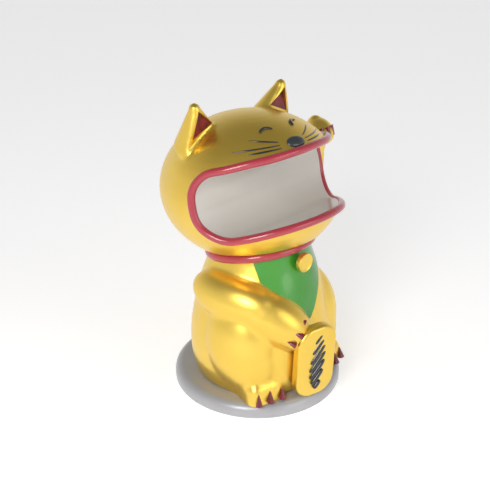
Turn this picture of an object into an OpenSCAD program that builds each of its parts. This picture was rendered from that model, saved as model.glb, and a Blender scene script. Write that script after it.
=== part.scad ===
// Beckoning cat with a wide open mouth, on a round base. The raised left arm swings on an axle
// and is kept going by a magnet pendulum above a coil. The cat faces -Y, its left side is +X.

/* [Base] */
// Diameter of the round base
base_d = 100; // [98:1:104]
// Thickness of the base
base_h = 8; // [8:0.5:10]
// Radius of the base's rounded top edge
base_edge_r = 5; // [3:0.5:6]

/* [Body] */
// Wall thickness of the moulded shells
wall = 2.4; // [1.8:0.1:2.8]
// Largest radius of the torso
torso_r = 41; // [40:0.5:42]
// How far the torso's centre lies in front of the base's centre
torso_fwd = 2; // [1:0.5:3]
// Thickness of the bib
bib_t = 0.9; // [0.6:0.1:1.2]

/* [Head] */
// Half the head's width
head_a = 49.8; // [48:0.2:50.4]
// Half the head's depth
head_b = 53.2; // [52:0.2:54]
// Half the head's height
head_c = 41.6; // [41:0.2:42.4]
// How far the chin is tipped up, in degrees
chin_up = 7.8; // [6:0.2:9]
// Diameter of the red lip ring
lip_d = 4.4; // [3.6:0.2:4.6]

/* [Swinging arm] */
// Diameter of the arm's steel axle
axle_d = 3; // [3:0.5:4]
// Height of the axle above the table
axle_z = 72; // [71:0.5:73]
// Radial clearance of the axle in its bushes
axle_gap = 0.05; // [0.02:0.01:0.1]
// Diameter of the pendulum's magnet
magnet_d = 17; // [15:0.5:17.5]

/* [Hidden] */
$fn = 72;
eps = 0.1;
far = 200;
glue_gap = 0.05;

// Base and battery box
base_r = base_d / 2;
box_half_x = 33;
box_half_y = 11;
box_top = 20;
well_half_x = 30.5;
well_half_y = 8.5;
well_top = 18;
door_t = 2;
door_gap = 0.25;
cell_d = 14.5;
cell_len = 50.5;
cell_z = 10;
screw_hole_r = 1.6;
boss_r = 4;
boss_h = 16;
base_screw_at = [[-22, -27], [22, -27], [-17, 24], [17, 24]];

// Torso, knees and feet
torso_c = [0, -torso_fwd, 0];
neck_r = 26;
neck_z = 104;
torso_foot_in = 3;
torso_profile = [[0, 20], [0.4, 30], [-0.4, 40], [-1.8, 48], [-3.6, 58], [-6.5, 68], [-10, 78],
                 [-13.2, 87]];
seam_y = 8;
knee_c = [27.5, -13.5, 40];
knee_s = [20, 21, 26];
foot_c = [25.5, -14.5, 12];
foot_s = [13, 28, 12];

// Head and mouth
head_c0 = [0, 5.9, 121.6];
jaw_top = [-12, 131.4, 13];
jaw_low = [-17.7, 124.2, 17];
jaw_top_slope = 19;
jaw_low_slope = 20.5;
liner_t = 2;
neck_screw_r = 16;
neck_at = [0, -1, 91];
neck_tilt = 13;

// Swinging arm
shoulder = [44, seam_y, axle_z];
frame_x = [0, 22.4];
frame_t = 2.6;
frame_foot_t = 2;
frame_hub_r = 6;
bush_r = 3;
bush_flange_t = 0.8;
axle_x = [-2, 47];
pendulum_x = 12.5;
pendulum_y = 6.76;
magnet_h = 9;
magnet_z = 29;
arm_wall = 1.8;
arm_hub_x = 34.4;

// Circuit board and the screws that hold it and the movement's frame on the battery box
board_at = [-30, -11];
board_size = [28, 18, 1.2];
board_screw_at = [[-27, -8], [-5, 4]];
frame_screw_at = [[6, -4], [19, -4]];
fixing_z = box_top + frame_foot_t;
standoff_r = 2.4;
small_hole_r = 1.3;
small_screw_r = 1;

// ---- shapes shared by several pieces ----

// An ellipsoid with its long axis from p to q, going past both by `over`
module bulge(p, q, r, over) {
  d = q - p;
  len = norm(d);
  translate((p + q) / 2)
    rotate([0, acos(d[2] / len), atan2(d[1], d[0])])
      scale([r, r, len / 2 + over])
        sphere(1);
}

module torso_solid(o) {
  translate(torso_c)
    rotate_extrude()
      polygon(concat([[0, base_h], [torso_r - torso_foot_in + o, base_h]],
                     [for (p = torso_profile) [torso_r + p[0] + o, p[1]]],
                     [[neck_r + o, neck_z], [0, neck_z]]));
}

module knee(side, o) {
  translate([side * knee_c[0], knee_c[1], knee_c[2]])
    scale([knee_s[0] + o, knee_s[1] + o, knee_s[2] + o])
      sphere(1);
}

module foot(side, o) {
  translate([side * foot_c[0], foot_c[1], foot_c[2]])
    scale([foot_s[0] + o, foot_s[1] + o, foot_s[2] + o])
      difference() {
        sphere(1);
        below((base_h - foot_c[2]) / (foot_s[2] + o));
      }
}

module head_solid(o) {
  translate(head_c0)
    rotate([-chin_up, 0, 0])
      scale([head_a + o, head_b + o, head_c + o])
        sphere(1);
}

// The tilted frame of the flat joint between the head and the body
module neck_frame() { translate(neck_at) rotate([-neck_tilt, 0, 0]) children(); }

module above_neck(z) {
  neck_frame() translate([-far / 2, -far / 2, z]) cube(far);
}

module below_neck(z) {
  neck_frame() translate([-far / 2, -far / 2, z - far]) cube(far);
}

module neck_holes(r) {
  neck_frame()
    for (a = [90 : 120 : 330])
      translate([neck_screw_r * cos(a), neck_screw_r * sin(a), -15]) cylinder(r = r, h = 30);
}

// Points of the mouth's outline in the YZ plane, grown by o: a wedge with a round back
function arc(c, r, from, to, n) =
  [for (i = [0 : n]) let (t = from + (to - from) * i / n) [c[0] + r * cos(t), c[1] + r * sin(t)]];
function mouth_outline(o) =
  let (up = arc(jaw_top, jaw_top[2] + o, 90 - jaw_top_slope, 0, 10),
       low = arc(jaw_low, jaw_low[2] + o, 0, -90 - jaw_low_slope, 14),
       reach = 90)
    concat([up[0] + reach * [-cos(jaw_top_slope), sin(jaw_top_slope)]], up, low,
           [low[14] + reach * [-cos(jaw_low_slope), sin(jaw_low_slope)]]);

module mouth_prism(o) {
  translate([-far / 2, 0, 0])
    rotate([90, 0, 90])
      linear_extrude(far)
        polygon(mouth_outline(o));
}

module below(z) { translate([-far / 2, -far / 2, z - far]) cube(far); }

module behind_seam() { translate([-far / 2, seam_y, -far / 2]) cube(far); }

// A claw: a small cone lying along d, its wide end at p
module claw(p, d, r, len) {
  translate(p)
    rotate([0, acos(d[2] / norm(d)), atan2(d[1], d[0])])
      cylinder(r1 = r, r2 = 0.4, h = len);
}

// ---- base ----

module base_disc() {
  color("silver")
    difference() {
      union() {
        rotate_extrude()
          polygon(concat([[0, 0], [base_r, 0]],
                         arc([base_r - base_edge_r, base_h - base_edge_r], base_edge_r, 0, 90, 8),
                         [[0, base_h]]));
        translate([-box_half_x, -torso_fwd - box_half_y, 1])
          cube([2 * box_half_x, 2 * box_half_y, box_top - 1]);
        for (p = board_screw_at)
          translate([p[0], p[1], box_top - 1])
            cylinder(r = standoff_r, h = fixing_z - board_size[2] - box_top + 1);
      }
      for (p = concat(board_screw_at, frame_screw_at))
        translate([p[0], p[1], well_top - eps]) cylinder(r = small_screw_r, h = 5);
      translate([-well_half_x, -torso_fwd - well_half_y, -eps])
        cube([2 * well_half_x, 2 * well_half_y, well_top + eps]);
      translate([-box_half_x, -torso_fwd - box_half_y, -eps])
        cube([2 * box_half_x, 2 * box_half_y, door_t + eps]);
      for (p = base_screw_at) {
        translate([p[0], p[1], -eps]) cylinder(r = screw_hole_r, h = base_h + 1);
        translate([p[0], p[1], -eps]) cylinder(r = 3, h = 3 + eps);
      }
    }
}

module battery_door() {
  color("silver")
    difference() {
      translate([-box_half_x + door_gap, -torso_fwd - box_half_y + door_gap, 0])
        cube([2 * (box_half_x - door_gap), 2 * (box_half_y - door_gap), door_t]);
      translate([box_half_x - 8, -torso_fwd, -eps]) cylinder(r = 3, h = 1 + eps);
    }
}

module battery_cell() {
  color("dimgray")
    translate([-cell_len / 2, -torso_fwd, cell_z])
      rotate([0, 90, 0])
        union() {
          cylinder(d = cell_d, h = cell_len - 1);
          cylinder(d = 5.5, h = cell_len);
        }
}

module battery_contacts() {
  contact_t = 0.6;
  spring_len = well_half_x - contact_t - cell_len / 2;
  color("gold")
    for (side = [-1, 1])
      translate([0, -torso_fwd, cell_z])
        union() {
          translate([side * (well_half_x - contact_t / 2), 0, 0])
            cube([contact_t, 10, 10], center = true);
          translate([side * cell_len / 2, 0, 0])
            rotate([0, side * 90, 0])
              difference() {
                cylinder(d1 = 4, d2 = 7, h = spring_len);
                translate([0, 0, -eps]) cylinder(r = 1.2, h = spring_len + eps);
              }
        }
}

module base_screws() {
  color("lightgray")
    for (p = base_screw_at)
      translate([p[0], p[1], 0.6]) {
        cylinder(r = 2.8, h = 2.4);
        cylinder(r = 1.5, h = 18);
      }
}

// ---- body ----

module body_skin(o) {
  torso_solid(o);
  for (side = [-1, 1]) {
    knee(side, o);
    foot(side, o);
  }
}

module body_shell() {
  difference() {
    union() body_skin(0);
    difference() {
      union() body_skin(-wall);
      above_neck(-wall);
    }
    above_neck(0);
    translate([shoulder[0] - 24, shoulder[1], axle_z]) rotate([0, 90, 0]) cylinder(r = 4, h = 30);
    neck_frame() translate([0, 0, -15]) cylinder(r = 8, h = 30);
    neck_holes(screw_hole_r);
  }
}

module shell_bosses(front) {
  for (p = base_screw_at)
    if ((p[1] < seam_y) == front)
      translate([p[0], p[1], base_h])
        difference() {
          cylinder(r = boss_r, h = boss_h);
          translate([0, 0, -eps]) cylinder(r = 1.5, h = 11);
        }
}

module body_front_shell() {
  color("goldenrod") {
    difference() {
      body_shell();
      behind_seam();
    }
    shell_bosses(true);
  }
}

module body_rear_shell() {
  color("goldenrod") {
    difference() {
      body_shell();
      translate([0, -far, 0]) behind_seam();
    }
    shell_bosses(false);
  }
}

module tail() {
  color("goldenrod")
    difference() {
      translate([0, torso_r - 3, 21]) scale([8, 10, 12]) sphere(1);
      torso_solid(0);
    }
}

// The right arm lies across the chest, down to the coin
arm_s = [-29, 4, 66];
arm_m = [-23, -22, 63];
arm_e = [-11, -37, 49];

module right_arm_solid(o) {
  bulge(arm_s, arm_m, 15.5 + o, 15 + o);
  bulge(arm_m, arm_e, 14 + o, 13 + o);
  translate(arm_e + [0, -1, -1]) sphere(r = 11 + o);
}

module right_arm() {
  color("goldenrod")
    difference() {
      union() right_arm_solid(0);
      union() right_arm_solid(-wall);
      torso_solid(0);
      knee(-1, 0);
      bib_solid();
      coin_solid(0.1);
      above_neck(0);
      collar_solid(0.05);
    }
}

module bib_solid() {
  intersection() {
    difference() {
      torso_solid(bib_t);
      torso_solid(0);
    }
    rotate([90, 0, 0])
      linear_extrude(far / 2)
        polygon([[-24, 80.5], [-13, 64], [0, 53], [13, 64], [24, 80.5], [24, 94], [-24, 94]]);
  }
}

module bib() {
  color("forestgreen")
    difference() {
      bib_solid();
      bell_solid(0.05);
    }
}

collar_r = 30;
collar_ridge_r = 2;
collar_ridge_gap = 3.2;
collar_in = 5;

// A band with two round ridges, one above the other
module collar_solid(o) {
  r = collar_ridge_r + o;
  valley = acos(collar_ridge_gap / 2 / r);
  neck_frame()
    rotate_extrude()
      polygon(concat([[collar_r - collar_in, -collar_ridge_gap - r]],
                     arc([collar_r, -collar_ridge_gap], r, -90, 90 - valley, 10),
                     arc([collar_r, 0], r, valley - 90, 0, 8),
                     [[collar_r - collar_in, 0]]));
}

module collar() {
  color("firebrick")
    difference() {
      collar_solid(0);
      torso_solid(bib_t + 0.05);
    }
}

bell_at = [0, -34.6, 86.5];

module bell_solid(o) {
  translate(bell_at)
    rotate([90, 0, 0])
      union() {
        translate([0, 0, -1.5 - o]) cylinder(r = 5.4 + o, h = 3 + 2 * o);
        translate([0, 0, 1.5 - o]) cylinder(r = 4.2 + o, h = 1 + 2 * o);
      }
}

module bell() {
  color("gold")
    difference() {
      bell_solid(0);
      torso_solid(0);
      collar_solid(0.05);
    }
}

// ---- claws and coin ----

// The claws sit on the skin, a thin film of glue away from it, and clear of the base
module foot_claws(side) {
  mirror([side > 0 ? 1 : 0, 0, 0])
    difference() {
      union()
        for (p = [[36, -31.8], [29.1, -41.1], [19.7, -39.5]])
          claw([-p[0], p[1], base_h + 0.9], [1, 2, 9], 2, 7);
      foot(-1, glue_gap, $fn = 180);
    }
}

module left_foot_claws() {
  color("maroon") foot_claws(1);
}

module right_foot_claws() {
  color("maroon") foot_claws(-1);
}

module right_paw_claws() {
  color("maroon")
    difference() {
      union()
        for (c = [[-17, -46, 43.5], [-13, -48, 49], [-10.5, -48, 55]])
          claw(c, [9, -1, -5], 1.9, 6);
      right_arm_solid(glue_gap);
      coin_solid(0.1);
    }
}

coin_c = [-4, -48, 31.2];
coin_w = 26;
coin_len = 46;
coin_t = 7;

module coin_frame() {
  translate(coin_c) rotate([0, 0, -12]) rotate([-3, 0, 0]) rotate([90, 0, 0]) children();
}

module coin_outline(o) {
  r = coin_w / 2 - 2;
  intersection() {
    square([coin_w + 2 * o, coin_len + 2 * o], center = true);
    union() {
      square([coin_w + 2 * o, coin_len - 2 * r + 2 * o], center = true);
      for (s = [-1, 1]) translate([0, s * (coin_len / 2 - r)]) scale([1.14, 1]) circle(r = r + o);
    }
  }
}

module coin_solid(o) {
  coin_frame()
    translate([0, 0, -coin_t / 2 - o]) linear_extrude(coin_t + 2 * o) coin_outline(o);
}

module coin() {
  color("goldenrod")
    difference() {
      coin_solid(0);
      body_skin(0);
      below(base_h + 0.05);
    }
}

// Plain slanted bars: the height on the coin and the length of each
coin_bars = [[-15, 6], [-10, 11], [-5, 14], [0, 15], [5, 14], [10, 11], [15, 7]];
coin_bar_r = 1.2;
coin_bar_tilt = 48;
coin_bar_h = 0.8;

module coin_marks() {
  color("black")
    coin_frame()
      for (b = coin_bars) {
        reach = b[1] / 2 - coin_bar_r;
        translate([0, b[0], coin_t / 2])
          rotate([0, 0, coin_bar_tilt])
            linear_extrude(coin_bar_h)
              polygon(concat(arc([reach, 0], coin_bar_r, -90, 90, 6),
                             arc([-reach, 0], coin_bar_r, 90, 270, 6)));
      }
}

// ---- head ----

ear_base = [27.5, 18, 148];
ear_tip = [33, 15, 169];
ear_r = 14.5;
ear_tip_r = 3;
ear_front = [0, 12.4, 160];
ear_front_tilt = 5.7;
ear_pocket = 1.6;
lining_t = 0.8;

// The left ear is a cone with a flat front, the right ear is its mirror image
module ear(side) {
  d = ear_tip - ear_base;
  mirror([side < 0 ? 1 : 0, 0, 0])
    difference() {
      translate(ear_base)
        rotate([0, acos(d[2] / norm(d)), atan2(d[1], d[0])])
          union() {
            cylinder(r1 = ear_r, r2 = ear_tip_r, h = norm(d));
            translate([0, 0, norm(d) - 0.3]) sphere(r = ear_tip_r + 0.2);
          }
      translate(ear_front)
        rotate([-ear_front_tilt, 0, 0])
          translate([-far / 2, -far, -far / 2])
            cube(far);
    }
}

// The triangle in the ear's flat front, from depth in to depth out below that face
module ear_triangle(side, in, out) {
  mirror([side < 0 ? 1 : 0, 0, 0])
    translate(ear_front)
      rotate([90 - ear_front_tilt, 0, 0])
        translate([0, 0, -in])
          linear_extrude(in - out)
            polygon([[22.4, 0.6], [36.4, -5.6], [33, 9]]);
}

module ear_lining(side) {
  ear_triangle(side, ear_pocket, ear_pocket - lining_t);
}

module head_shell() {
  color("goldenrod")
    difference() {
      union() {
        head_solid(0);
        ear(-1);
        ear(1);
      }
      difference() {
        head_solid(-wall);
        below_neck(wall);
      }
      below_neck(0);
      mouth_prism(0);
      for (side = [-1, 1]) ear_triangle(side, ear_pocket, -3);
      neck_holes(1.2);
      neck_frame() translate([0, 0, -15]) cylinder(r = 8, h = 30);
    }
}

module mouth_liner() {
  color("white")
    intersection() {
      head_solid(-0.1);
      difference() {
        mouth_prism(-0.1);
        mouth_prism(-liner_t);
      }
    }
}

module lip_ring() {
  color("crimson")
    intersection() {
      difference() {
        head_solid(lip_d / 2 + 0.8);
        head_solid(0.1);
      }
      difference() {
        mouth_prism(lip_d / 2);
        mouth_prism(-lip_d / 2);
      }
    }
}

module left_ear_lining() {
  color("darkred") ear_lining(1);
}

module right_ear_lining() {
  color("darkred") ear_lining(-1);
}

// The painted face sits a few degrees off the head's middle
face_turn = -5;
eye_lon = 23;
eye_lat = 59;
// Each whisker from one longitude and latitude to another
whisker_ends = [[[14, 46], [40, 50.5]], [[14, 43.5], [53, 42]], [[14, 41], [41, 39.5]]];

// A point of the head's surface at a longitude from the front and a latitude
function head_point(lon, lat) =
  [head_a * cos(lat) * sin(lon), -head_b * cos(lat) * cos(lon), head_c * sin(lat)];

// Turns the XY plane on to the head's surface there
module on_head(lon, lat) {
  translate(head_c0)
    rotate([-chin_up, 0, 0])
      translate(head_point(lon, lat))
        rotate([0, 0, lon])
          rotate([90 - lat, 0, 0])
            children();
}

// A thin relief on the head, in the outline of the children seen square on
module face_relief(lon, lat, h) {
  intersection() {
    difference() {
      head_solid(h);
      head_solid(0.02);
    }
    on_head(lon, lat) translate([0, 0, -3]) linear_extrude(8) children();
  }
}

module nose() {
  color("darkslategray")
    difference() {
      face_relief(face_turn + 1.5, 43.5, 1.2)
        polygon([for (i = [0 : 23]) [5.6 * cos(15 * i), 3 * sin(15 * i)]]);
      mouth_prism(lip_d / 2 + 0.05);
    }
}

// A closed, smiling eye: an arc with its ends down
module eyes() {
  color("black")
    for (side = [-1, 1])
      face_relief(face_turn + side * eye_lon, eye_lat, 0.35)
        polygon(concat(arc([0, -3.4], 5.6, 25, 155, 12), arc([0, -3.4], 4.4, 155, 25, 12)));
}

module whiskers() {
  color("black")
    for (side = [-1, 1])
      for (w = whisker_ends) {
        mid = (w[0] + w[1]) / 2;
        step = w[1] - w[0];
        half = norm(head_point(w[1][0], w[1][1]) - head_point(w[0][0], w[0][1])) / 2;
        difference() {
          face_relief(face_turn + side * mid[0], mid[1], 0.35)
            rotate(side * atan2(head_c * step[1], head_a * cos(mid[1]) * step[0]))
              polygon([[-side * half, -0.45], [-side * half, 0.45], [side * half, 0.15],
                       [side * half, -0.15]]);
          mouth_prism(lip_d / 2 + 0.05);
        }
      }
}

module neck_screws() {
  color("lightgray")
    for (a = [90 : 120 : 330])
      neck_frame()
        translate([neck_screw_r * cos(a), neck_screw_r * sin(a), -wall - 2]) {
          cylinder(r = 2.8, h = 2);
          cylinder(r = 1.2, h = 9);
        }
}

// ---- movement ----

module frame_plate(x) {
  translate([x, 0, 0])
    rotate([90, 0, 90])
      difference() {
        linear_extrude(frame_t)
          union() {
            polygon([[-8, box_top], [16, box_top], [seam_y + 5.5, axle_z], [seam_y - 5.5, axle_z]]);
            translate([seam_y, axle_z]) circle(r = frame_hub_r);
          }
        translate([seam_y, axle_z, -eps]) cylinder(r = bush_r, h = frame_t + 1);
        translate([0, 0, -eps])
          linear_extrude(frame_t + 1)
            polygon([[-3, box_top + 8], [12, box_top + 8], [seam_y + 2, axle_z - 11],
                     [seam_y - 2, axle_z - 11]]);
      }
}

module movement_frame() {
  color("dimgray")
    difference() {
      union() {
        for (x = frame_x) frame_plate(x);
        translate([frame_x[0], -8, box_top])
          cube([frame_x[1] + frame_t - frame_x[0], 24, frame_foot_t]);
      }
      for (p = frame_screw_at) translate([p[0], p[1], box_top - 1]) cylinder(r = small_hole_r, h = 5);
    }
}

module bush(x) {
  translate([x, seam_y, axle_z])
    rotate([0, 90, 0])
      difference() {
        union() {
          cylinder(r = bush_r, h = frame_t);
          translate([0, 0, frame_t]) cylinder(r = bush_r + 1.2, h = bush_flange_t);
        }
        translate([0, 0, -eps]) cylinder(r = axle_d / 2 + axle_gap, h = frame_t + 2);
      }
}

module inner_bush() {
  color("ivory") bush(frame_x[0]);
}

module outer_bush() {
  color("ivory") bush(frame_x[1]);
}

module coil_bobbin() {
  color("black")
    translate([pendulum_x, seam_y, fixing_z])
      difference() {
        union() {
          cylinder(r = 6.5, h = 0.8);
          cylinder(r = 3, h = 5.4);
          translate([0, 0, 4.6]) cylinder(r = 6.5, h = 0.8);
        }
        translate([0, 0, -eps]) cylinder(r = 1.5, h = 8);
      }
}

module coil_winding() {
  color("chocolate")
    translate([pendulum_x, seam_y, fixing_z + 0.8])
      difference() {
        cylinder(r = 6, h = 3.8);
        translate([0, 0, -eps]) cylinder(r = 3, h = 5);
      }
}

module circuit_board() {
  color("darkgreen")
    difference() {
      translate([board_at[0], board_at[1], fixing_z - board_size[2]]) cube(board_size);
      for (p = board_screw_at) translate([p[0], p[1], box_top]) cylinder(r = small_hole_r, h = 5);
    }
}

module board_parts() {
  color("black")
    translate([board_at[0], board_at[1], fixing_z]) {
      translate([14, 9, 0]) cylinder(r1 = 4.5, r2 = 3, h = 1.4);
      translate([22, 6, 0]) cylinder(r = 2.5, h = 6);
      translate([5, 12, 0]) cube([6, 2.4, 2.4]);
    }
}

module frame_screws() {
  color("lightgray")
    for (p = concat(board_screw_at, frame_screw_at))
      translate([p[0], p[1], fixing_z])
        union() {
          cylinder(r = 2.2, h = 1.4);
          translate([0, 0, -3.8]) cylinder(r = small_screw_r, h = 4.5);
        }
}

module arm_axle() {
  color("lightgray")
    translate([axle_x[0], seam_y, axle_z])
      rotate([0, 90, 0]) cylinder(d = axle_d, h = axle_x[1] - axle_x[0]);
}

module axle_clip() {
  color("gray")
    translate([frame_x[0] - 1.4, seam_y, axle_z])
      rotate([0, 90, 0])
        difference() {
          cylinder(r = 3, h = 0.8);
          translate([0, 0, -eps]) cylinder(r = axle_d / 2, h = 1);
        }
}

module axle_bore() {
  translate([axle_x[0], seam_y, axle_z])
    rotate([0, 90, 0]) cylinder(d = axle_d, h = axle_x[1] - axle_x[0]);
}

module pendulum_arm() {
  magnet_top = magnet_z + magnet_h;
  color("ivory")
    difference() {
      union() {
        translate([pendulum_x - 3, seam_y, axle_z]) rotate([0, 90, 0]) cylinder(r = 4, h = 6);
        translate([pendulum_x - 1.5, seam_y - 3, magnet_top]) cube([3, 6, axle_z - magnet_top]);
        translate([pendulum_x, pendulum_y, magnet_top]) cylinder(d = magnet_d, h = 1.6);
      }
      axle_bore();
    }
}

module pendulum_magnet() {
  color("silver")
    translate([pendulum_x, pendulum_y, magnet_z]) cylinder(d = magnet_d, h = magnet_h);
}

// The raised arm stands clear of the head's side over its whole swing
elbow = [57.5, 13, 90];
wrist = [63.5, 14, 124];
paw = [60.4, 11.3, 139.1];
paw_end = [56.9, 1.3, 137.6];

module raised_arm_solid(o) {
  translate(shoulder) sphere(r = 8.5 + o);
  translate([arm_hub_x, seam_y, axle_z])
    rotate([0, 90, 0]) cylinder(r = 4.4 + o, h = shoulder[0] - arm_hub_x);
  bulge([47, seam_y + 1, axle_z + 3], elbow, 7.6 + o, 7 + o);
  bulge(elbow, wrist, 7.2 + o, 14 + o);
  bulge(wrist, paw, 7.2 + o, 8 + o);
  bulge(paw, paw_end, 7.6 + o, 6 + o);
}

module raised_arm_hollow(o) {
  bulge([50, seam_y + 2, axle_z + 8], elbow, 7.6 + o, 3 + o);
  bulge(elbow, wrist, 7.2 + o, 14 + o);
  bulge(wrist, paw, 7.2 + o, 8 + o);
  bulge(paw, paw_end, 7.6 + o, 6 + o);
}

module raised_arm() {
  color("goldenrod")
    difference() {
      union() raised_arm_solid(0);
      union() raised_arm_hollow(-arm_wall);
      axle_bore();
    }
}

module raised_paw_claws() {
  color("maroon")
    difference() {
      union()
        for (k = [-1 : 1])
          claw(paw_end + [4.2 * k - 1, abs(k) - 3, 5.4], [0, -4, -6], 1.6, 6);
      raised_arm_solid(glue_gap);
    }
}

base_disc();
battery_door();
battery_cell();
battery_contacts();
base_screws();
body_front_shell();
body_rear_shell();
right_arm();
right_paw_claws();
bib();
collar();
bell();
tail();
left_foot_claws();
right_foot_claws();
coin();
coin_marks();
head_shell();
mouth_liner();
lip_ring();
left_ear_lining();
right_ear_lining();
nose();
eyes();
whiskers();
neck_screws();
movement_frame();
inner_bush();
outer_bush();
coil_bobbin();
coil_winding();
circuit_board();
board_parts();
frame_screws();
arm_axle();
axle_clip();
pendulum_arm();
pendulum_magnet();
raised_arm();
raised_paw_claws();
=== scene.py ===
import math

import bpy
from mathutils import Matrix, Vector


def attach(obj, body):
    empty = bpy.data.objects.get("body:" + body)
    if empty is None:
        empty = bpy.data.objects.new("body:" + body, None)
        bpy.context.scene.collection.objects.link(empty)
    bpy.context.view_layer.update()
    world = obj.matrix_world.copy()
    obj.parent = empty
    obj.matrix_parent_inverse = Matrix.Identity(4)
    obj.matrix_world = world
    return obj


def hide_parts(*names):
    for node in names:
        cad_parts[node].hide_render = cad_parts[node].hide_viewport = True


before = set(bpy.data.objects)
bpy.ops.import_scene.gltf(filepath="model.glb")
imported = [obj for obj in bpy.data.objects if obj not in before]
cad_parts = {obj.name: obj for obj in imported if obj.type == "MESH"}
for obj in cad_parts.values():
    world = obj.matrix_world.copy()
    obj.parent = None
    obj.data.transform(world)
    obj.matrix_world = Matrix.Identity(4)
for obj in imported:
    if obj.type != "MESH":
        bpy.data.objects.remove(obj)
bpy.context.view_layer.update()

# ---- Base --------------------------------------------------------------------------------
# The cat stands on a round moulded disc, sprayed silver grey, with a rounded upper edge.
# A battery box stands up from it inside the body, open underneath for the cell and its door.
mm = 0.001
base_r, base_h, base_edge = 50, 8, 5
box_size, well_size, door_size = (66, 22, 20), (61, 17, 18), (66, 22, 2)
box_y = -2
base_screws_at = [(-22, -27), (22, -27), (-17, 24), (17, 24)]


def only(piece):
    """Selects this piece and nothing else."""
    bpy.ops.object.select_all(action="DESELECT")
    piece.select_set(True)
    bpy.context.view_layer.objects.active = piece
    return piece


def settle(piece, name):
    """Names a new piece, and puts its place, turn and size into its mesh."""
    only(piece)
    piece.name = name
    piece.data.name = name
    bpy.ops.object.transform_apply(location=True, rotation=True, scale=True)
    return piece


def new_piece(name):
    return settle(bpy.context.active_object, name)


def shape(piece, kind, **settings):
    """Puts a modifier on the piece and applies it."""
    only(piece)
    modifier = piece.modifiers.new(kind.title(), kind)
    for key, value in settings.items():
        setattr(modifier, key, value)
    bpy.ops.object.modifier_apply(modifier=modifier.name)
    return piece


def cut(piece, tool, how="DIFFERENCE"):
    """Cuts the piece with another solid, or joins them, and takes the tool away."""
    shape(piece, "BOOLEAN", operation=how, object=tool, solver="EXACT")
    bpy.data.objects.remove(tool)
    return piece


def block(size, centre):
    bpy.ops.mesh.primitive_cube_add(size=1, location=Vector(centre) * mm, scale=Vector(size) * mm)
    return new_piece("block")


def rod(radius, depth, centre, turn=(0, 0, 0), sides=48):
    bpy.ops.mesh.primitive_cylinder_add(
        vertices=sides, radius=radius * mm, depth=depth * mm, location=Vector(centre) * mm, rotation=turn
    )
    return new_piece("rod")


def pick(piece, kind, test):
    """Goes into edit mode with the faces or edges selected whose middle passes the test."""
    only(piece)
    bpy.ops.object.mode_set(mode="EDIT")
    bpy.ops.mesh.select_mode(type=kind)
    bpy.ops.mesh.select_all(action="DESELECT")
    bpy.ops.object.mode_set(mode="OBJECT")
    mesh = piece.data
    for part in mesh.polygons if kind == "FACE" else mesh.edges:
        corners = [mesh.vertices[v].co for v in part.vertices]
        part.select = test(sum(corners, Vector()) / len(corners) / mm)
    bpy.ops.object.mode_set(mode="EDIT")


def done(piece, angle=180):
    """Leaves edit mode with the faces outward and the curved parts smooth."""
    only(piece)
    bpy.ops.object.mode_set(mode="EDIT")
    bpy.ops.mesh.select_all(action="SELECT")
    bpy.ops.mesh.normals_make_consistent(inside=False)
    bpy.ops.object.mode_set(mode="OBJECT")
    bpy.ops.object.shade_smooth_by_angle(angle=math.radians(angle))
    return piece


def group_of(name, inputs, outputs):
    """An empty shader node group with number sockets."""
    group = bpy.data.node_groups.new(name, "ShaderNodeTree")
    for socket, value in inputs:
        made = group.interface.new_socket(socket, in_out="INPUT", socket_type="NodeSocketFloat")
        made.default_value = value
    for socket in outputs:
        group.interface.new_socket(socket, in_out="OUTPUT", socket_type="NodeSocketFloat")
    return group, group.nodes.new("NodeGroupInput"), group.nodes.new("NodeGroupOutput")


def noise_group(name, spread, detail):
    """Noise from 0 to 1 over the piece, spread out round its middle value."""
    group, source, result = group_of(name, [("Scale", 100.0)], ["Value"])
    place = group.nodes.new("ShaderNodeTexCoord")
    noise = group.nodes.new("ShaderNodeTexNoise")
    noise.inputs["Detail"].default_value = detail
    ramp = group.nodes.new("ShaderNodeMapRange")
    ramp.inputs["From Min"].default_value = 0.5 - spread
    ramp.inputs["From Max"].default_value = 0.5 + spread
    group.links.new(place.outputs["Object"], noise.inputs["Vector"])
    group.links.new(source.outputs["Scale"], noise.inputs["Scale"])
    group.links.new(noise.outputs["Fac"], ramp.inputs["Value"])
    group.links.new(ramp.outputs["Result"], result.inputs["Value"])
    return group


paint_grain = noise_group("paint_grain", 0.25, 2.0)
tone_drift = noise_group("tone_drift", 0.18, 3.0)


def rubbed_edges_group():
    """A mask that is 1 where an edge stands out and has been rubbed by handling."""
    group, source, result = group_of("rubbed_edges", [("Amount", 1.0), ("Scale", 300.0)], ["Mask"])
    geometry = group.nodes.new("ShaderNodeNewGeometry")
    edge = group.nodes.new("ShaderNodeMapRange")
    edge.inputs["From Min"].default_value = 0.53
    edge.inputs["From Max"].default_value = 0.62
    patches = group.nodes.new("ShaderNodeGroup")
    patches.node_tree = tone_drift
    worn = group.nodes.new("ShaderNodeMath")
    worn.operation = "MULTIPLY"
    much = group.nodes.new("ShaderNodeMath")
    much.operation = "MULTIPLY"
    group.links.new(source.outputs["Scale"], patches.inputs["Scale"])
    group.links.new(geometry.outputs["Pointiness"], edge.inputs["Value"])
    group.links.new(edge.outputs["Result"], worn.inputs[0])
    group.links.new(patches.outputs["Value"], worn.inputs[1])
    group.links.new(worn.outputs[0], much.inputs[0])
    group.links.new(source.outputs["Amount"], much.inputs[1])
    group.links.new(much.outputs[0], result.inputs["Mask"])
    return group


rubbed_edges = rubbed_edges_group()


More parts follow.
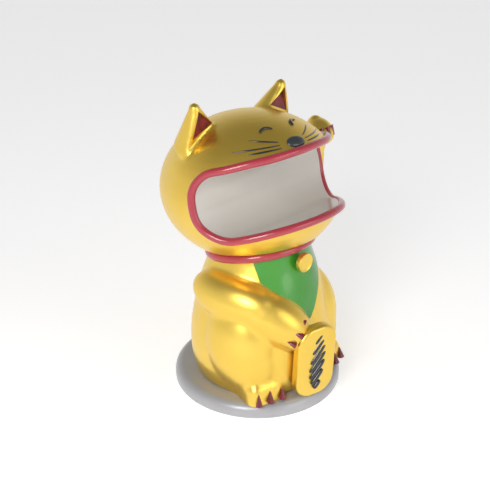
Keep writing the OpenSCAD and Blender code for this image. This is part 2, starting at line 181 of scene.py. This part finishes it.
def finish_of(name, colour, second, rough, metal=0.0, coat=0.0, grain=1500, bump=0.02, rub=None, drift=40):
    """A finish: colour drifts to a second one, grain gives bump and gloss, rub shows on edges."""
    material = bpy.data.materials.new(name + "_finish")
    material["slot"] = name
    material.use_nodes = True
    nodes, links = material.node_tree.nodes, material.node_tree.links
    shader = nodes["Principled BSDF"]
    shader.inputs["Metallic"].default_value = metal
    shader.inputs["Coat Weight"].default_value = coat
    shader.inputs["Coat Roughness"].default_value = 0.06
    speck = nodes.new("ShaderNodeGroup")
    speck.node_tree = paint_grain
    speck.inputs["Scale"].default_value = grain
    tone = nodes.new("ShaderNodeGroup")
    tone.node_tree = tone_drift
    tone.inputs["Scale"].default_value = drift
    paint = nodes.new("ShaderNodeMix")
    paint.data_type = "RGBA"
    paint.inputs["A"].default_value = (*colour, 1)
    paint.inputs["B"].default_value = (*second, 1)
    links.new(tone.outputs["Value"], paint.inputs["Factor"])
    top = paint
    if rub:
        worn = nodes.new("ShaderNodeGroup")
        worn.node_tree = rubbed_edges
        worn.inputs["Amount"].default_value = 0.5
        top = nodes.new("ShaderNodeMix")
        top.data_type = "RGBA"
        top.inputs["B"].default_value = (*rub, 1)
        links.new(worn.outputs["Mask"], top.inputs["Factor"])
        links.new(paint.outputs["Result"], top.inputs["A"])
    links.new(top.outputs["Result"], shader.inputs["Base Color"])
    gloss = nodes.new("ShaderNodeMapRange")
    gloss.inputs["To Min"].default_value = rough * 0.85
    gloss.inputs["To Max"].default_value = rough * 1.15
    links.new(speck.outputs["Value"], gloss.inputs["Value"])
    links.new(gloss.outputs["Result"], shader.inputs["Roughness"])
    relief = nodes.new("ShaderNodeBump")
    relief.inputs["Strength"].default_value = 1.0
    relief.inputs["Distance"].default_value = bump * mm
    links.new(speck.outputs["Value"], relief.inputs["Height"])
    links.new(relief.outputs["Normal"], shader.inputs["Normal"])
    return material


def dress(piece, material, body, *stands_for):
    """Gives a piece its finish, which carries its slot, and its body, and hides the CAD nodes it stands for.
    """
    piece.data.materials.clear()
    piece.data.materials.append(material)
    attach(piece, body)
    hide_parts(*stands_for)


silver_lacquer = finish_of(
    "silver_lacquer", (0.42, 0.42, 0.44), (0.38, 0.38, 0.40), 0.36, metal=0.2, coat=0.1,
    grain=2200, bump=0.012, rub=(0.16, 0.16, 0.17),
)
disc = rod(base_r, base_h, (0, 0, base_h / 2), sides=192)
pick(disc, "EDGE", lambda at: at.z > base_h - 0.1 and at.xy.length > base_r - 1)
bpy.ops.mesh.bevel(offset=base_edge * mm, segments=14, profile=0.5, affect="EDGES")
bpy.ops.object.mode_set(mode="OBJECT")
pick(disc, "EDGE", lambda at: at.z < 0.1 and at.xy.length > base_r - 1)
bpy.ops.mesh.bevel(offset=0.6 * mm, segments=3, profile=0.5, affect="EDGES")
bpy.ops.object.mode_set(mode="OBJECT")
cut(disc, block(box_size, (0, box_y, box_size[2] / 2 + 0.01)), "UNION")
cut(disc, block((well_size[0], well_size[1], 2 * well_size[2]), (0, box_y, 0)))
cut(disc, block((door_size[0], door_size[1], 2 * door_size[2]), (0, box_y, 0)))
for x, y in base_screws_at:
    cut(disc, rod(3, 6, (x, y, 0)))
    cut(disc, rod(1.6, 40, (x, y, 0)))
disc.name = "base_disc_lacquered"
dress(done(disc, 35), silver_lacquer, "root", "base_disc")


def coat_node(node, material):
    """Gives a CAD piece whose shape is right its finish."""
    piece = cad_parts[node]
    piece.data.materials.clear()
    piece.data.materials.append(material)


coat_node("battery_door", silver_lacquer)

# ---- Battery, its contacts and the screws --------------------------------------------------
# One AA cell lies across the base between two sprung brass contacts. Zinc plated screws come up
# through the base into the body's bosses, and three more hold the head on the neck joint.
cell_jacket = finish_of("cell_jacket", (0.06, 0.06, 0.07), (0.09, 0.09, 0.10), 0.3, metal=0.6, grain=900)
contact_brass = finish_of("contact_brass", (0.72, 0.55, 0.24), (0.6, 0.43, 0.17), 0.3, metal=1.0)
zinc_steel = finish_of(
    "zinc_steel", (0.55, 0.56, 0.58), (0.42, 0.43, 0.46), 0.28, metal=1.0, rub=(0.7, 0.7, 0.7)
)
coat_node("battery_cell", cell_jacket)
coat_node("battery_contacts", contact_brass)
for node in ("base_screws", "neck_screws", "frame_screws", "arm_axle", "axle_clip"):
    coat_node(node, zinc_steel)

# ---- Movement ------------------------------------------------------------------------------
# Two plates screwed to the battery box carry the arm's axle in nylon bushes. A magnet hangs from
# the axle over a wound coil, and a small board with a potted chip gives the coil its pulses.
black_plastic = finish_of(
    "black_plastic", (0.025, 0.025, 0.026), (0.04, 0.04, 0.04), 0.5, grain=2500, bump=0.03
)
nylon = finish_of("nylon", (0.72, 0.68, 0.56), (0.62, 0.58, 0.46), 0.42, grain=1800)
magnet_nickel = finish_of("magnet_nickel", (0.62, 0.60, 0.56), (0.5, 0.49, 0.46), 0.22, metal=1.0)
copper_wire = finish_of(
    "copper_wire", (0.55, 0.20, 0.07), (0.35, 0.11, 0.03), 0.3, metal=0.9, grain=5200, bump=0.09
)
board_green = finish_of("board_green", (0.02, 0.13, 0.05), (0.01, 0.09, 0.03), 0.35, coat=0.3)
chip_resin = finish_of("chip_resin", (0.015, 0.015, 0.015), (0.03, 0.03, 0.03), 0.25)
for node, material in (
    ("movement_frame", black_plastic),
    ("coil_bobbin", black_plastic),
    ("inner_bush", nylon),
    ("outer_bush", nylon),
    ("pendulum_arm", nylon),
    ("pendulum_magnet", magnet_nickel),
    ("coil_winding", copper_wire),
    ("circuit_board", board_green),
    ("board_parts", chip_resin),
):
    coat_node(node, material)

# ---- Body with the right arm ---------------------------------------------------------------
# The body is moulded in two halves, glued, filled at the joint and lacquered gold as one, with
# the haunches, the feet, the tail and the arm across the chest. It is hollow for the movement.
wall = 2.4
torso_y = -2
torso_profile = [
    (38, 8), (39.6, 14), (41, 20), (41.4, 30), (40.6, 40), (39.2, 48), (37.4, 58), (34.5, 68),
    (31, 78), (27.8, 87), (26.4, 96),
]
neck_at, neck_tilt = Vector((0, -1, 91)), math.radians(-13)
haunch_eggs = [((19, 23, 31), (25.5, -12, 38)), ((17, 19, 22), (25, -17, 29))]
chest_arm = [
    ((-29, 4, 66), (-23, -22, 63), 15.5, 15),
    ((-23, -22, 63), (-11, -37, 49), 14, 13),
    ((-25.5, -17, 63.5), (-15.5, -31.5, 55), 14.4, 9),
]
chest_paw, tail = ((11, 11, 11), (-11, -38, 48)), ((8, 10, 12), (0, 38, 21))
foot_size, foot_at, foot_turn = (24, 38, 19), (23.5, -18.8, 11.5), math.radians(14)
gold_lacquer = finish_of(
    "gold_lacquer", (0.88, 0.62, 0.115), (0.84, 0.57, 0.095), 0.33, metal=0.92, coat=0.06,
    grain=2600, bump=0.01, rub=(0.45, 0.27, 0.05), drift=30,
)


def egg(radii, centre, turn=(0, 0, 0)):
    """A rounded form to be blended into a skin."""
    bpy.ops.mesh.primitive_uv_sphere_add(
        segments=64, ring_count=32, radius=1, location=Vector(centre) * mm, rotation=turn,
        scale=Vector(radii) * mm,
    )
    return new_piece("egg")


def limb(start, end, radius, past):
    """An egg drawn out along the line from start to end, and past both by a length."""
    start, end = Vector(start), Vector(end)
    along = end - start
    turn = along.to_track_quat("Z", "Y").to_euler()
    return egg((radius, radius, along.length / 2 + past), (start + end) / 2, turn)


def turned(profile, y, shrink=0):
    """A solid turned round the upright axis at y, from radii and heights, rising from the first."""
    radius, height = profile[0]
    bpy.ops.mesh.primitive_circle_add(
        vertices=128, radius=(radius - shrink) * mm, fill_type="NGON", location=(0, y * mm, height * mm)
    )
    solid = new_piece("turned")
    bpy.ops.object.mode_set(mode="EDIT")
    for (r0, z0), (r1, z1) in zip(profile, profile[1:]):
        bpy.ops.mesh.extrude_region_move(TRANSFORM_OT_translate={"value": (0, 0, (z1 - z0) * mm)})
        size = (r1 - shrink) / (r0 - shrink)
        bpy.ops.transform.resize(value=(size, size, 1), center_override=(0, y * mm, z1 * mm))
    bpy.ops.object.mode_set(mode="OBJECT")
    return done(solid)


def skin_of(name, forms, voxel, passes):
    """Joins forms into one skin and rounds the creases where they meet."""
    bpy.ops.object.select_all(action="DESELECT")
    for form in forms:
        form.select_set(True)
    bpy.context.view_layer.objects.active = forms[0]
    bpy.ops.object.join()
    skin = new_piece(name)
    shape(skin, "REMESH", mode="VOXEL", voxel_size=voxel * mm, use_smooth_shade=True)
    shape(skin, "SMOOTH", factor=0.5, iterations=passes)
    return skin


def slice_off(piece, at, normal):
    """Takes away what lies beyond a plane, and closes the cut."""
    only(piece)
    bpy.ops.object.mode_set(mode="EDIT")
    bpy.ops.mesh.select_all(action="SELECT")
    bpy.ops.mesh.bisect(plane_co=Vector(at) * mm, plane_no=normal, use_fill=True, clear_outer=True)
    bpy.ops.object.mode_set(mode="OBJECT")
    return piece


def foot(side):
    """A blunt foot: a block with a flat front, turned a little outward and softly rounded."""
    form = block(foot_size, (0, 0, 0))
    form.rotation_euler = (0, 0, side * foot_turn)
    form.location = Vector((side * foot_at[0], foot_at[1], foot_at[2])) * mm
    settle(form, "foot")
    return shape(form, "BEVEL", width=6 * mm, segments=8)


neck_normal = Vector((0, -math.sin(neck_tilt), math.cos(neck_tilt)))
body_forms = [turned(torso_profile, torso_y)]
for side in (-1, 1):
    body_forms += [
        *(egg(radii, (side * x, y, z)) for radii, (x, y, z) in haunch_eggs),
        foot(side),
    ]
body_forms += [
    *(limb(*part) for part in chest_arm),
    egg(*chest_paw),
    egg(*tail),
]
body = skin_of("body_lacquered", body_forms, 1.1, 12)
slice_off(body, (0, 0, base_h), (0, 0, -1))
slice_off(body, neck_at, neck_normal)
hollow = [(radius, height - 1 if height == base_h else height) for radius, height in torso_profile]
cut(body, turned(hollow, torso_y, wall))
cut(body, rod(4, 20, (34, 8, 72), (0, math.pi / 2, 0)))
dress(
    done(body, 40), gold_lacquer, "root",
    "body_front_shell", "body_rear_shell", "right_arm", "tail",
)

# ---- Bib -----------------------------------------------------------------------------------
# The bib is a shallow raised field on the chest, masked and sprayed glossy green. It narrows
# from the collar to a point at the coin, and the right arm lies over its edge.
bib_rise = 0.9
bib_half = 22.5
bib_tip = (0, 53.5)
bib_slope = math.radians(47)
green_enamel = finish_of(
    "green_enamel", (0.055, 0.30, 0.03), (0.045, 0.26, 0.025), 0.24, coat=0.5,
    grain=1800, bump=0.008, drift=60,
)
bib = turned([(radius + bib_rise, height) for radius, height in torso_profile[3:]], torso_y)
slice_off(bib, neck_at, neck_normal)
slice_off(bib, (0, 0, 0), (0, 1, 0))
for side in (-1, 1):
    edge = (side * math.sin(bib_slope), 0, -math.cos(bib_slope))
    slice_off(bib, (bib_tip[0], 0, bib_tip[1]), edge)
    slice_off(bib, (side * bib_half, 0, 0), (side, 0, 0))
cut(bib, turned(torso_profile, torso_y, 0.6))
dress(done(bib, 40), green_enamel, "root", "bib")

# ---- Coin ----------------------------------------------------------------------------------
# A thick oval coin with soft edges stands between the paws, moulded on and lacquered with the
# body. Its face carries slanting strokes, raised and filled with black enamel.
coin_at, coin_size = Vector((-4, -48, 31.2)), (26, 7, 46)
coin_turn = (math.radians(3), 0, math.radians(-12))
stroke_tilt = math.radians(48)
strokes = [(-15, 6), (-10, 11), (-5, 14), (0, 15), (5, 14), (10, 11), (15, 7)]
black_enamel = finish_of(
    "black_enamel", (0.012, 0.012, 0.012), (0.02, 0.02, 0.02), 0.22, coat=0.6, grain=1500, bump=0.01
)
bpy.ops.mesh.primitive_cube_add(size=1)
coin = bpy.context.active_object
coin.scale = Vector(coin_size) * mm
settle(coin, "coin_lacquered")
pick(coin, "EDGE", lambda at: abs(at.x) > 12 and abs(at.z) > 22)
bpy.ops.mesh.bevel(offset=10.5 * mm, segments=14, profile=0.5, affect="EDGES")
bpy.ops.object.mode_set(mode="OBJECT")
pick(coin, "EDGE", lambda at: abs(at.y) > 3.4)
bpy.ops.mesh.bevel(offset=2.2 * mm, segments=8, profile=0.5, affect="EDGES")
bpy.ops.object.mode_set(mode="OBJECT")
coin.rotation_euler = coin_turn
coin.location = coin_at * mm
settle(coin, "coin_lacquered")
slice_off(coin, (0, 0, base_h), (0, 0, -1))
dress(done(coin, 40), gold_lacquer, "root", "coin")


def stroke(name, points, radii):
    """A line of thick enamel through the points, thinner where its radius is less."""
    bpy.ops.curve.primitive_nurbs_path_add()
    line = bpy.context.active_object
    spline = line.data.splines[0]
    spline.points.add(len(points) - len(spline.points))
    for knot, point, radius in zip(spline.points, points, radii):
        knot.co = (*(Vector(point) * mm), 1)
        knot.radius = radius
    line.data.bevel_depth = mm
    line.data.bevel_resolution = 5
    line.data.use_fill_caps = True
    line.data.resolution_u = 6
    only(line)
    bpy.ops.object.convert(target="MESH")
    return new_piece(name)


def joined(name, parts):
    bpy.ops.object.select_all(action="DESELECT")
    for part in parts:
        part.select_set(True)
    bpy.context.view_layer.objects.active = parts[0]
    bpy.ops.object.join()
    return new_piece(name)


coin_across = Vector((math.cos(coin_turn[2]), math.sin(coin_turn[2]), 0))
coin_out = Vector((math.sin(coin_turn[2]), -math.cos(coin_turn[2]), 0.05))
marks = []
for height, length in strokes:
    reach = Vector((math.cos(stroke_tilt), 0, math.sin(stroke_tilt))) * length / 2
    points = []
    for k in (-1, -0.9, -0.4, 0.4, 0.9, 1):
        flat = reach * k + Vector((0, 0, height))
        points.append(coin_at + coin_across * flat.x + Vector((0, 0, flat.z)) + coin_out * 3.3)
    marks.append(stroke("mark", points, [0.6, 1.35, 1.5, 1.5, 1.35, 0.6]))
dress(done(joined("coin_strokes", marks)), black_enamel, "root", "coin_marks")

# ---- Claws ---------------------------------------------------------------------------------
# Three moulded claws on each foot and on the right paw are picked out in glossy maroon. Each is
# a small cone glued on the toe, wide and rounded at its root.
foot_claws_at = [(36, -36.4), (28.8, -38.6), (21, -40.4)]
paw_claws_at = [(-18.5, -46.8, 46.2), (-15, -48.4, 51.2), (-9.6, -45.5, 56.2)]
maroon_enamel = finish_of(
    "maroon_enamel", (0.20, 0.012, 0.03), (0.15, 0.008, 0.02), 0.2, coat=0.6, grain=1500, bump=0.01
)


def claw(root, direction, radius, length):
    turn = Vector(direction).to_track_quat("Z", "Y").to_euler()
    bpy.ops.mesh.primitive_cone_add(
        vertices=32, radius1=radius * mm, radius2=0.15 * mm, depth=length * mm, rotation=turn,
        location=(Vector(root) + Vector(direction).normalized() * length / 2) * mm,
    )
    cone = new_piece("claw")
    shape(cone, "BEVEL", width=0.5 * mm, segments=4, limit_method="ANGLE", angle_limit=math.radians(40))
    return done(cone, 60)


for side, name in ((1, "left_foot_claws"), (-1, "right_foot_claws")):
    claws = [claw((side * x, y, 9.2), (-side, 1.5, 9), 2.1, 7) for x, y in foot_claws_at]
    dress(joined(name + "_enamel", claws), maroon_enamel, "root", name)
claws = [claw(at, (-6, 6, 4), 1.9, 5) for at in paw_claws_at]
dress(joined("right_paw_claws_enamel", claws), maroon_enamel, "root", "right_paw_claws")

# ---- Head ----------------------------------------------------------------------------------
# The head is a hollow moulded egg with two ears, its chin tipped up, cut through from side to
# side by the open mouth. It is screwed on the tilted neck joint and lacquered gold.
head_at, head_size = Vector((0, 5.9, 121.6)), Vector((49.8, 53.2, 41.6))
chin_up = math.radians(-7.8)
jaws = [((-12, 131.4), 13, 19), ((-17.7, 124.2), 17, 20.5)]
ear_base, ear_tip = Vector((27.5, 18, 148)), Vector((33, 15, 170))
ear_front, ear_lean = (0, 12.4, 160), math.radians(5.7)
ear_pocket = [(22.4, 0.6), (36.4, -5.6), (33, 9)]


def head_egg(grow):
    return egg(head_size + Vector((grow, grow, grow)), head_at, (chin_up, 0, 0))


def mouth_wedge(grow):
    """The mouth's space: a wedge with a round back, opening forward."""
    rods = []
    for (y, z), radius, slope in jaws:
        slope = math.radians(slope)
        for reach in (0, 90):
            centre = (0, y - reach * math.cos(slope), z + reach * math.sin(slope))
            rods.append(rod(radius + grow, 160, centre, (0, math.pi / 2, 0), sides=144))
    wedge = joined("wedge", rods)
    bpy.ops.object.mode_set(mode="EDIT")
    bpy.ops.mesh.select_all(action="SELECT")
    bpy.ops.mesh.convex_hull()
    bpy.ops.object.mode_set(mode="OBJECT")
    return done(wedge, 30)


def ear(side):
    """A cone with a round tip, its front sliced flat."""
    base, tip = (Vector((side * point.x, point.y, point.z)) for point in (ear_base, ear_tip))
    along = tip - base
    bpy.ops.mesh.primitive_cone_add(
        vertices=64, radius1=14.5 * mm, radius2=3.1 * mm, depth=along.length * mm,
        location=(base + tip) / 2 * mm, rotation=along.to_track_quat("Z", "Y").to_euler(),
    )
    cone = joined("ear", [new_piece("cone"), egg((3.2, 3.2, 3.2), tip)])
    shape(cone, "REMESH", mode="VOXEL", voxel_size=0.7 * mm)
    return slice_off(cone, ear_front, (0, -math.cos(ear_lean), -math.sin(ear_lean)))


def ear_wedge(side, deep, out, grow=0.0):
    """The three-cornered space sunk in the ear's flat front."""
    middle = sum((Vector(corner) for corner in ear_pocket), Vector((0, 0))) / 3
    bpy.ops.mesh.primitive_circle_add(vertices=3, radius=mm, fill_type="NGON")
    tool = new_piece("pocket")
    for vertex, corner in zip(tool.data.vertices, ear_pocket):
        spread = middle + (Vector(corner) - middle) * (1 + grow)
        vertex.co = (side * spread.x * mm, spread.y * mm, -deep * mm)
    bpy.ops.object.mode_set(mode="EDIT")
    bpy.ops.mesh.select_all(action="SELECT")
    bpy.ops.mesh.extrude_region_move(TRANSFORM_OT_translate={"value": (0, 0, (deep + out) * mm)})
    bpy.ops.object.mode_set(mode="OBJECT")
    tool.rotation_euler = (math.pi / 2 - ear_lean, 0, 0)
    tool.location = Vector(ear_front) * mm
    return done(settle(tool, "pocket"), 30)


head = skin_of("head_lacquered", [head_egg(0.15), ear(-1), ear(1)], 1.0, 6)
cut(head, head_egg(-wall))
cut(head, mouth_wedge(0))
slice_off(head, neck_at, -neck_normal)
for side in (-1, 1):
    cut(head, ear_wedge(side, 1.9, 4))
dress(done(head, 35), gold_lacquer, "root", "head_shell")

# ---- Ear linings ---------------------------------------------------------------------------
# The sunk fields in the ears are brushed in two reds, one drifting into the other. They are thin
# separate pieces at the bottom of each pocket.
ear_red = finish_of(
    "ear_red", (0.24, 0.012, 0.015), (0.08, 0.005, 0.01), 0.35, coat=0.2, grain=900, drift=220
)
for side, name in ((1, "left_ear_lining"), (-1, "right_ear_lining")):
    lining = ear_wedge(side, 2.0, -1.1)
    shape(lining, "BEVEL", width=0.15 * mm, segments=2)
    lining.name = name + "_enamel"
    dress(done(lining, 30), ear_red, "root", name)

# ---- Mouth liner ---------------------------------------------------------------------------
# The inside of the mouth is a separate trough of glossy white plastic, pressed in from one side
# and trimmed flush with the head under the lip.
white_enamel = finish_of(
    "white_enamel", (0.60, 0.57, 0.52), (0.56, 0.53, 0.48), 0.22, coat=0.2, grain=1200, bump=0.006, drift=25
)
liner = mouth_wedge(-0.1)
cut(liner, head_egg(0.3), "INTERSECT")
cut(liner, mouth_wedge(-2))
liner.name = "mouth_trough"
dress(done(liner, 35), white_enamel, "root", "mouth_liner")

# ---- Lip -----------------------------------------------------------------------------------
# A round bead follows the mouth's whole edge, from one cheek over the muzzle to the other and
# back under the chin. It is picked out in glossy red.
lip_r = 2.25
red_enamel = finish_of(
    "red_enamel", (0.42, 0.035, 0.055), (0.37, 0.028, 0.045), 0.24, coat=0.5, grain=1500, bump=0.008, drift=60
)
rim = mouth_wedge(-0.3)
cut(rim, head_egg(1.2), "INTERSECT")
only(rim)
bpy.ops.object.mode_set(mode="EDIT")
bpy.ops.mesh.select_mode(type="EDGE")
bpy.ops.mesh.select_all(action="DESELECT")
bpy.ops.mesh.edges_select_sharp(sharpness=math.radians(30))
bpy.ops.mesh.select_all(action="INVERT")
bpy.ops.mesh.delete(type="EDGE_FACE")
bpy.ops.mesh.select_all(action="SELECT")
bpy.ops.mesh.delete(type="ONLY_FACE")
bpy.ops.mesh.select_all(action="SELECT")
bpy.ops.mesh.remove_doubles(threshold=0.9 * mm)
bpy.ops.mesh.vertices_smooth(factor=0.5, repeat=3)
bpy.ops.object.mode_set(mode="OBJECT")
bpy.ops.object.convert(target="CURVE")
rim.data.bevel_depth = lip_r * mm
rim.data.bevel_resolution = 6
bpy.ops.object.convert(target="MESH")
lip = new_piece("lip_bead")
shape(lip, "REMESH", mode="VOXEL", voxel_size=0.5 * mm, use_smooth_shade=True)
shape(lip, "SMOOTH", factor=0.5, iterations=8)
dress(done(lip), red_enamel, "root", "lip_ring")

# ---- Collar and bell -----------------------------------------------------------------------
# A red collar of two moulded rounds hides the joint between head and body. A gold bell like a
# small dished button hangs at its front, on the bib.
collar_r, collar_rounds = 29.6, [(0.3, 2.0), (-3.4, 2.6)]
bell_at, bell_r = Vector((0, -35.2, 86.5)), 5.4
rings = []
for height, radius in collar_rounds:
    bpy.ops.mesh.primitive_torus_add(
        major_segments=160, minor_segments=28, major_radius=collar_r * mm, minor_radius=radius * mm,
        location=(neck_at + neck_normal * height) * mm, rotation=(neck_tilt, 0, 0),
    )
    rings.append(new_piece("ring"))
dress(done(joined("collar_enamel", rings)), red_enamel, "root", "collar")

bell = rod(bell_r, 3.4, bell_at, (math.pi / 2, 0, 0), sides=64)
pick(bell, "FACE", lambda at: at.y < bell_at.y - 1)
bpy.ops.mesh.inset(thickness=1.2 * mm)
bpy.ops.transform.translate(value=(0, 0.8 * mm, 0))
bpy.ops.object.mode_set(mode="OBJECT")
shape(bell, "BEVEL", width=0.55 * mm, segments=5, limit_method="ANGLE", angle_limit=math.radians(30))
bell.name = "bell_lacquered"
dress(done(bell, 50), gold_lacquer, "root", "bell")

# ---- Face ----------------------------------------------------------------------------------
# The nose is a low dark dome on the edge of the lip. The smiling eyes and the whiskers are brush
# strokes of black enamel on the lacquer, thick at one end and drawn out at the other.
face_turn = -5
nose_at = (-3.5, 43.2)
eye_lat, eye_lons = 57.6, (-24, 21)
whisker_ends = [((14, 46), (40, 50.5)), ((14, 43.5), (53, 42)), ((14, 41), (41, 39.5))]
slate_enamel = finish_of(
    "slate_enamel", (0.035, 0.045, 0.05), (0.025, 0.03, 0.035), 0.28, coat=0.4, grain=1500, bump=0.01
)


def on_head(lon, lat, rise=0.0):
    """A place on the head by its longitude from the front and its latitude, in degrees."""
    lon, lat = math.radians(lon), math.radians(lat)
    x, y, z = (size + rise for size in head_size)
    place = Vector(
        (x * math.cos(lat) * math.sin(lon), -y * math.cos(lat) * math.cos(lon), z * math.sin(lat))
    )
    return head_at + Vector(
        (place.x, place.y * math.cos(chin_up) - place.z * math.sin(chin_up),
         place.y * math.sin(chin_up) + place.z * math.cos(chin_up))
    )


nose = egg((5.6, 3.6, 1.9), (0, 0, 0))
nose.rotation_euler = (math.radians(36), 0, math.radians(-8))
nose.location = on_head(*nose_at) * mm
dress(done(settle(nose, "nose_enamel")), slate_enamel, "root", "nose")

lines = []
for lon in eye_lons:
    arch = [(-7.5, -2.0), (-6.6, -0.5), (-4, 1.3), (0, 2.4), (4, 1.9), (8.6, 0.3)]
    points = [on_head(lon + along, eye_lat + up, 0.35) for along, up in arch]
    lines.append(stroke("eye", points, [0.6, 0.95, 0.95, 0.85, 0.7, 0.35]))
dress(done(joined("eyes_enamel", lines)), black_enamel, "root", "eyes")

lines = []
for side in (-1, 1):
    for (lon0, lat0), (lon1, lat1) in whisker_ends:
        points = []
        for step in (0, 0.1, 0.35, 0.6, 0.85, 1):
            lon = lon0 + (lon1 - lon0) * step
            lat = lat0 + (lat1 - lat0) * step
            points.append(on_head(face_turn + side * lon, lat, 0.1))
        lines.append(stroke("whisker", points, [0.25, 0.4, 0.55, 0.65, 0.5, 0.12]))
dress(done(joined("whiskers_enamel", lines)), black_enamel, "root", "whiskers")

# ---- Raised arm ----------------------------------------------------------------------------
# The beckoning arm is a separate hollow moulding, lacquered like the body and pressed on the
# axle's end, so that it swings beside the head. Its paw has three painted claws.
shoulder, elbow, wrist = (44, 8, 72), (57.5, 13, 90), (63.5, 14, 124)
paw, paw_end = (60.4, 11.3, 139.1), (56.9, 1.3, 137.6)
arm = skin_of(
    "raised_arm_lacquered",
    [
        egg((8.5, 8.5, 8.5), shoulder),
        rod(4.4, 10, (39.4, 8, 72), (0, math.pi / 2, 0)),
        limb((47, 9, 75), elbow, 7.6, 7),
        limb(elbow, wrist, 7.2, 14),
        limb(wrist, paw, 7.2, 8),
        limb(paw, paw_end, 7.6, 6),
    ],
    0.8, 8,
)
dress(done(arm), gold_lacquer, "waving_arm", "raised_arm")
claws = [
    claw((paw_end[0] + 4.2 * k - 1, paw_end[1] + abs(k) - 3, paw_end[2] + 5.4), (0, -4, -6), 1.6, 6)
    for k in (-1, 0, 1)
]
dress(joined("raised_paw_claws_enamel", claws), maroon_enamel, "waving_arm", "raised_paw_claws")

# ---- Floor, light and camera ---------------------------------------------------------------
# The figurine stands on a plain pale sweep, lit by a large soft lamp from its right and front,
# with a bright surround that darkens overhead.
bpy.ops.mesh.primitive_plane_add(size=6)
floor = new_piece("floor")
floor_paint = bpy.data.materials.new("floor_paint")
floor_paint.use_nodes = True
floor_sockets = floor_paint.node_tree.nodes["Principled BSDF"].inputs
floor_sockets["Base Color"].default_value = (0.9, 0.9, 0.9, 1)
floor_sockets["Roughness"].default_value = 0.7
floor_sockets["Emission Color"].default_value = (1, 1, 1, 1)
floor_sockets["Emission Strength"].default_value = 0.45
floor.data.materials.append(floor_paint)

world = bpy.data.worlds.new("surround")
bpy.context.scene.world = world
world.use_nodes = True
sky, links = world.node_tree.nodes, world.node_tree.links
place = sky.new("ShaderNodeTexCoord")
split = sky.new("ShaderNodeSeparateXYZ")
fade = sky.new("ShaderNodeMapRange")
fade.inputs["From Min"].default_value = 0.1
fade.inputs["From Max"].default_value = 0.75
fade.inputs["To Min"].default_value = 0.85
fade.inputs["To Max"].default_value = 0.22
sky["Background"].inputs["Color"].default_value = (1, 1, 1, 1)
links.new(place.outputs["Generated"], split.inputs["Vector"])
links.new(split.outputs["Z"], fade.inputs["Value"])
links.new(fade.outputs["Result"], sky["Background"].inputs["Strength"])


def lamp(name, place, aim, size, power):
    light = bpy.data.lights.new(name, "AREA")
    light.shape, light.size, light.energy = "DISK", size, power
    holder = bpy.data.objects.new(name, light)
    bpy.context.scene.collection.objects.link(holder)
    holder.location = place
    holder.rotation_euler = (Vector(aim) - Vector(place)).to_track_quat("-Z", "Y").to_euler()


lamp("key", (-0.55, -0.25, 0.42), (0, 0, 0.09), 0.3, 2.4)
lamp("fill", (0.1, -0.7, 0.35), (0, 0, 0.08), 0.5, 1)

azimuth, elevation, distance = math.radians(-45.2), math.radians(25.9), 0.5
back = Vector(
    (math.sin(azimuth) * math.cos(elevation), -math.cos(azimuth) * math.cos(elevation), math.sin(elevation))
)
right = Vector((math.cos(azimuth), math.sin(azimuth), 0))
aim = Vector((0, 0, 0.1)) - right * 0.00756 - back.cross(right) * 0.01344
camera = bpy.data.objects.new("camera", bpy.data.cameras.new("camera"))
bpy.context.scene.collection.objects.link(camera)
camera.location = aim + back * distance
camera.rotation_euler = (-back).to_track_quat("-Z", "Y").to_euler()
camera.data.lens = 64.73
camera.data.clip_start = 0.01
bpy.context.scene.camera = camera
bpy.context.scene.view_settings.view_transform = "Standard"
